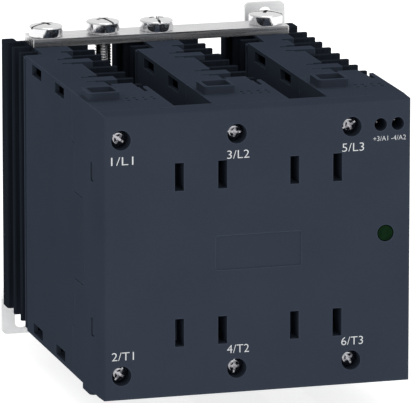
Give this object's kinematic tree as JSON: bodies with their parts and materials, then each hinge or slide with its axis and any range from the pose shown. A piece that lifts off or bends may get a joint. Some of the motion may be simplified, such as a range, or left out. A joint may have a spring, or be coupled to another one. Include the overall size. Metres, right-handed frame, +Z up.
{
  "type": "solid state relay",
  "caption": "Three-phase solid state relay: slate plastic modules on finned black heat sinks, one shared front cover, earth bar and rail plate with two panel tabs.",
  "frame": {"origin": "middle of the rail seat: the back plane of the mounting plate, halfway along and halfway up the body", "axes": "+X to the right seen from the front, +Y back into the panel, +Z up; the front cover faces -Y"},
  "size_m": [0.11, 0.1508, 0.12],
  "materials": {
    "cover_plastic": "fine moulded texture, slate blue grey",
    "housing_plastic": "fine moulded texture, darker slate blue",
    "sink_aluminium": "black anodised extrusion, matt",
    "bar_plating": "bright nickel plated",
    "plate_steel": "zinc plated sheet",
    "washer_steel": "zinc plated",
    "screw_steel": "bright zinc plated",
    "latch_steel": "zinc plated",
    "spring_steel": "drawn wire",
    "clamp_brass": "nickel flashed brass",
    "contact_copper": "tinned copper strip",
    "module_resin": "black moulded resin",
    "pad_silicone": "soft grey silicone sheet",
    "board_laminate": "green solder mask",
    "parts_resin": "moulded component bodies",
    "led_resin": "clear epoxy",
    "lens_green": "tinted transparent lens"
  },
  "bodies": {
    "relay_body": {"front_cover": "cover_plastic", "housing_1": "housing_plastic", "housing_2": "housing_plastic", "housing_3": "housing_plastic", "heat_sink_1": "sink_aluminium", "heat_sink_2": "sink_aluminium", "heat_sink_3": "sink_aluminium", "earth_bar": "bar_plating", "bar_screws": "screw_steel", "mounting_plate": "plate_steel", "plate_screws": "screw_steel", "latch_rivets": "screw_steel", "latch_springs": "spring_steel", "line_bar_1": "contact_copper", "line_bar_2": "contact_copper", "line_bar_3": "contact_copper", "load_bar_1": "contact_copper", "load_bar_2": "contact_copper", "load_bar_3": "contact_copper", "power_module_1": "module_resin", "power_module_2": "module_resin", "power_module_3": "module_resin", "thermal_pad_1": "pad_silicone", "thermal_pad_2": "pad_silicone", "thermal_pad_3": "pad_silicone", "module_screws": "screw_steel", "driver_board_1": "board_laminate", "driver_board_2": "board_laminate", "driver_board_3": "board_laminate", "driver_parts_1": "parts_resin", "driver_parts_2": "parts_resin", "driver_parts_3": "parts_resin", "control_contacts": "contact_copper", "input_board": "board_laminate", "input_parts": "parts_resin", "indicator_led": "led_resin", "led_lens": "lens_green"},
    "line_screw_1": {"line_screw_1": "screw_steel"},
    "line_clamp_1": {"line_clamp_1": "clamp_brass"},
    "line_screw_2": {"line_screw_2": "screw_steel"},
    "line_clamp_2": {"line_clamp_2": "clamp_brass"},
    "line_screw_3": {"line_screw_3": "screw_steel"},
    "line_clamp_3": {"line_clamp_3": "clamp_brass"},
    "load_screw_1": {"load_screw_1": "screw_steel"},
    "load_clamp_1": {"load_clamp_1": "clamp_brass"},
    "load_screw_2": {"load_screw_2": "screw_steel"},
    "load_clamp_2": {"load_clamp_2": "clamp_brass"},
    "load_screw_3": {"load_screw_3": "screw_steel"},
    "load_clamp_3": {"load_clamp_3": "clamp_brass"},
    "control_screw_a1": {"control_screw_a1": "screw_steel"},
    "control_clamp_a1": {"control_clamp_a1": "clamp_brass"},
    "control_screw_a2": {"control_screw_a2": "screw_steel"},
    "control_clamp_a2": {"control_clamp_a2": "clamp_brass"},
    "earth_washer": {"earth_washer": "washer_steel"},
    "earth_screw": {"earth_screw": "screw_steel"},
    "rail_latch": {"rail_latch": "latch_steel"}
  },
  "joints": [
    {"name": "line_screw_turn_1", "type": "hinge", "parent": "relay_body", "child": "line_screw_1", "pos_m": [-0.04896, -0.1348, 0.0415], "axis": [0, 1, 0], "range_deg": [0, 2916]},
    {"name": "line_clamp_slide_1", "type": "slide", "parent": "relay_body", "child": "line_clamp_1", "axis": [0, -1, 0], "range_m": [0, 0.0056]},
    {"name": "line_screw_turn_2", "type": "hinge", "parent": "relay_body", "child": "line_screw_2", "pos_m": [-0.00766, -0.1348, 0.0415], "axis": [0, 1, 0], "range_deg": [0, 2916]},
    {"name": "line_clamp_slide_2", "type": "slide", "parent": "relay_body", "child": "line_clamp_2", "axis": [0, -1, 0], "range_m": [0, 0.0056]},
    {"name": "line_screw_turn_3", "type": "hinge", "parent": "relay_body", "child": "line_screw_3", "pos_m": [0.03364, -0.1348, 0.0415], "axis": [0, 1, 0], "range_deg": [0, 2916]},
    {"name": "line_clamp_slide_3", "type": "slide", "parent": "relay_body", "child": "line_clamp_3", "axis": [0, -1, 0], "range_m": [0, 0.0056]},
    {"name": "load_screw_turn_1", "type": "hinge", "parent": "relay_body", "child": "load_screw_1", "pos_m": [-0.04896, -0.1348, -0.0415], "axis": [0, 1, 0], "range_deg": [0, 2916]},
    {"name": "load_clamp_slide_1", "type": "slide", "parent": "relay_body", "child": "load_clamp_1", "axis": [0, -1, 0], "range_m": [0, 0.0056]},
    {"name": "load_screw_turn_2", "type": "hinge", "parent": "relay_body", "child": "load_screw_2", "pos_m": [-0.00766, -0.1348, -0.0415], "axis": [0, 1, 0], "range_deg": [0, 2916]},
    {"name": "load_clamp_slide_2", "type": "slide", "parent": "relay_body", "child": "load_clamp_2", "axis": [0, -1, 0], "range_m": [0, 0.0056]},
    {"name": "load_screw_turn_3", "type": "hinge", "parent": "relay_body", "child": "load_screw_3", "pos_m": [0.03364, -0.1348, -0.0415], "axis": [0, 1, 0], "range_deg": [0, 2916]},
    {"name": "load_clamp_slide_3", "type": "slide", "parent": "relay_body", "child": "load_clamp_3", "axis": [0, -1, 0], "range_m": [0, 0.0056]},
    {"name": "control_screw_turn_a1", "type": "hinge", "parent": "relay_body", "child": "control_screw_a1", "pos_m": [0.04399, -0.1348, 0.04166], "axis": [0, 1, 0], "range_deg": [0, 2916]},
    {"name": "control_clamp_slide_a1", "type": "slide", "parent": "relay_body", "child": "control_clamp_a1", "axis": [0, -1, 0], "range_m": [0, 0.004]},
    {"name": "control_screw_turn_a2", "type": "hinge", "parent": "relay_body", "child": "control_screw_a2", "pos_m": [0.05019, -0.1348, 0.04166], "axis": [0, 1, 0], "range_deg": [0, 2916]},
    {"name": "control_clamp_slide_a2", "type": "slide", "parent": "relay_body", "child": "control_clamp_a2", "axis": [0, -1, 0], "range_m": [0, 0.004]},
    {"name": "earth_lift", "type": "slide", "parent": "relay_body", "child": "earth_washer", "axis": [0, 0, 1], "range_m": [0, 0.005]},
    {"name": "earth_screw_turn", "type": "hinge", "parent": "earth_washer", "child": "earth_screw", "pos_m": [-0.0204, -0.015, 0.0544], "axis": [0, 0, 1], "range_deg": [0, 1836]},
    {"name": "latch_slide", "type": "slide", "parent": "relay_body", "child": "rail_latch", "axis": [0, 0, -1], "range_m": [0, 0.004], "stiffness_N_per_m": 800, "springref_m": -0.004, "deforming": ["latch_springs"]}
  ],
  "couplings": [
    {"joint": "line_screw_turn_1", "follows": "line_clamp_slide_1", "rad_per_m": 8976},
    {"joint": "line_screw_turn_2", "follows": "line_clamp_slide_2", "rad_per_m": 8976},
    {"joint": "line_screw_turn_3", "follows": "line_clamp_slide_3", "rad_per_m": 8976},
    {"joint": "load_screw_turn_1", "follows": "load_clamp_slide_1", "rad_per_m": 8976},
    {"joint": "load_screw_turn_2", "follows": "load_clamp_slide_2", "rad_per_m": 8976},
    {"joint": "load_screw_turn_3", "follows": "load_clamp_slide_3", "rad_per_m": 8976},
    {"joint": "control_screw_turn_a1", "follows": "control_clamp_slide_a1", "rad_per_m": 12566},
    {"joint": "control_screw_turn_a2", "follows": "control_clamp_slide_a2", "rad_per_m": 12566},
    {"joint": "earth_screw_turn", "follows": "earth_lift", "rad_per_m": 6283.2}
  ]
}
